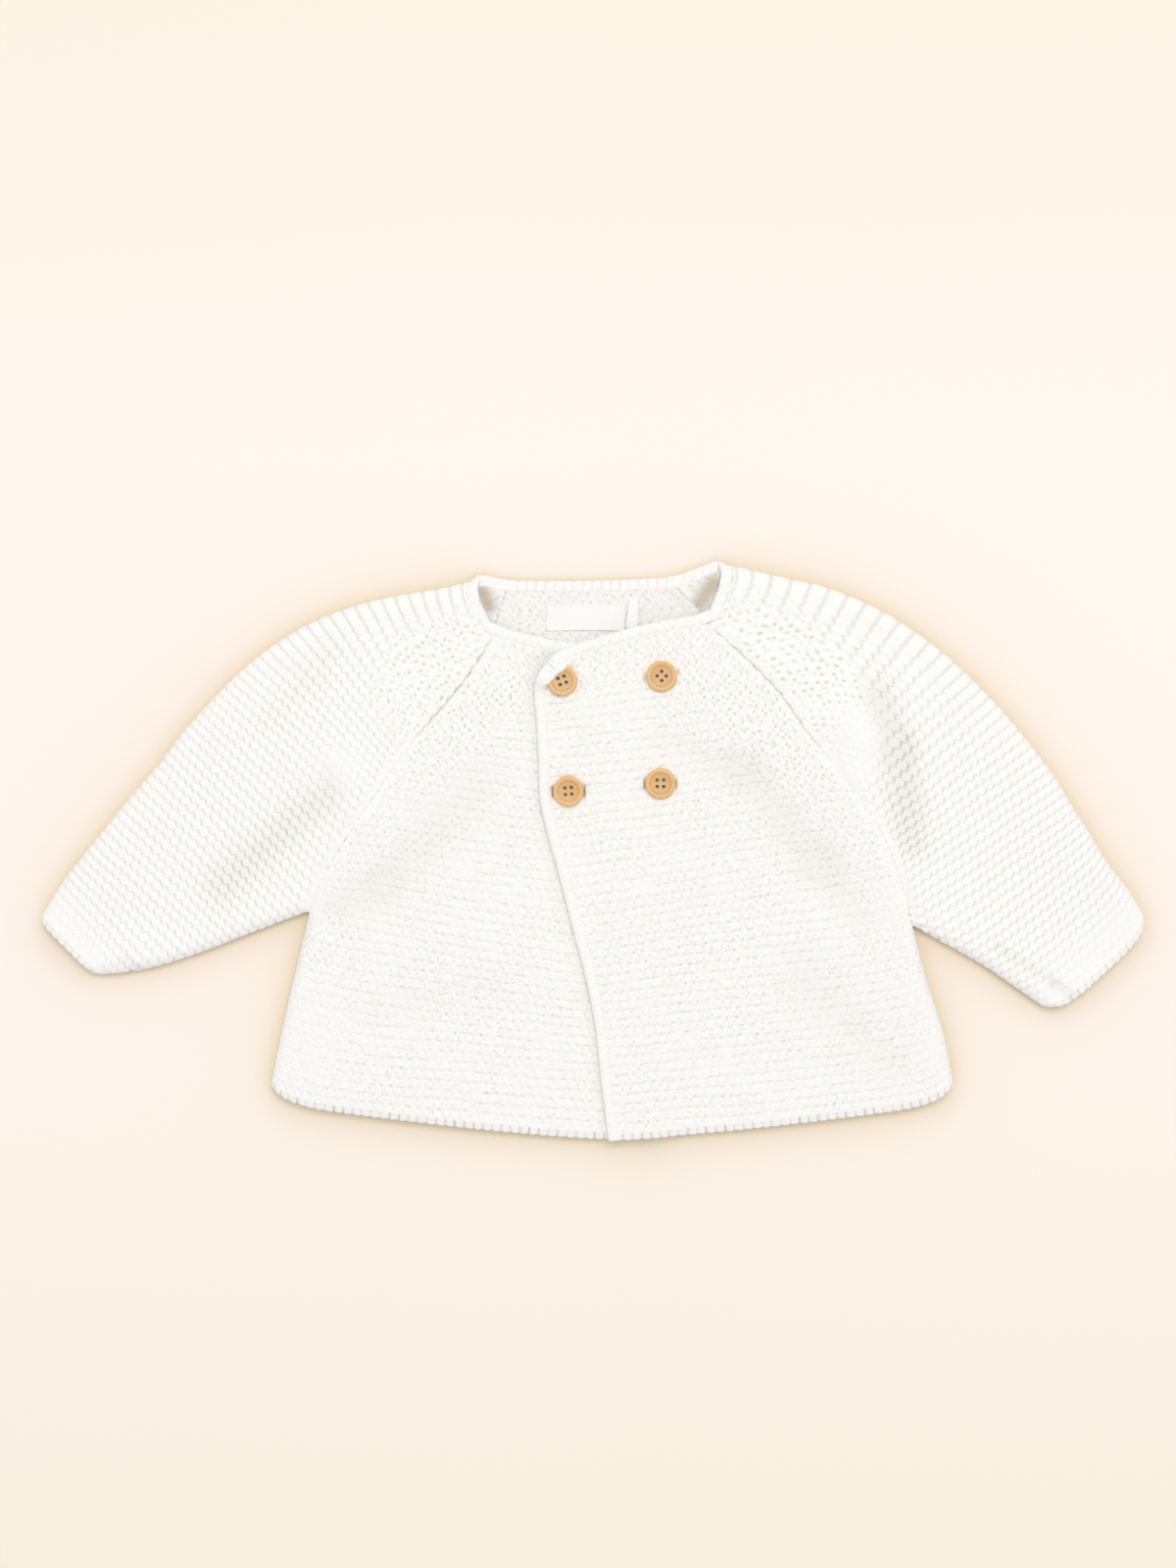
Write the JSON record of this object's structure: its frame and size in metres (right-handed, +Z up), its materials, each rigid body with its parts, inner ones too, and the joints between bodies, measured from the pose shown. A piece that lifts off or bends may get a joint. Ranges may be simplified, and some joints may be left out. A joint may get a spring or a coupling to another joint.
{
  "type": "baby cardigan",
  "caption": "Baby cardigan in garter stitch with raglan sleeves, a round neck and a double-breasted button front, laid flat on its back.",
  "frame": {"origin": "on the flat underside of the back, at the middle of the garment's width, 118 mm below the back neck seam", "axes": "+X towards the wearer's left, +Y towards the neck, +Z up from the surface that the garment lies on"},
  "size_m": [0.508, 0.2662, 0.0137],
  "materials": {
    "knit": "soft matt off-white yarn, garter stitch",
    "knit_inside": "the same yarn, seen inside the neck and from below",
    "button_wood": "honey-coloured, oiled satin",
    "woven_tape": "fine white woven tape"
  },
  "bodies": {
    "root": {"back": "knit_inside", "left_front": "knit", "right_front": "knit", "left_sleeve": "knit", "right_sleeve": "knit", "left_front_edging": "knit", "right_front_edging": "knit", "neck_edging": "knit", "button_1": "button_wood", "button_2": "button_wood", "button_3": "button_wood", "button_4": "button_wood", "neck_label": "woven_tape", "size_tab": "woven_tape"}
  },
  "joints": []
}
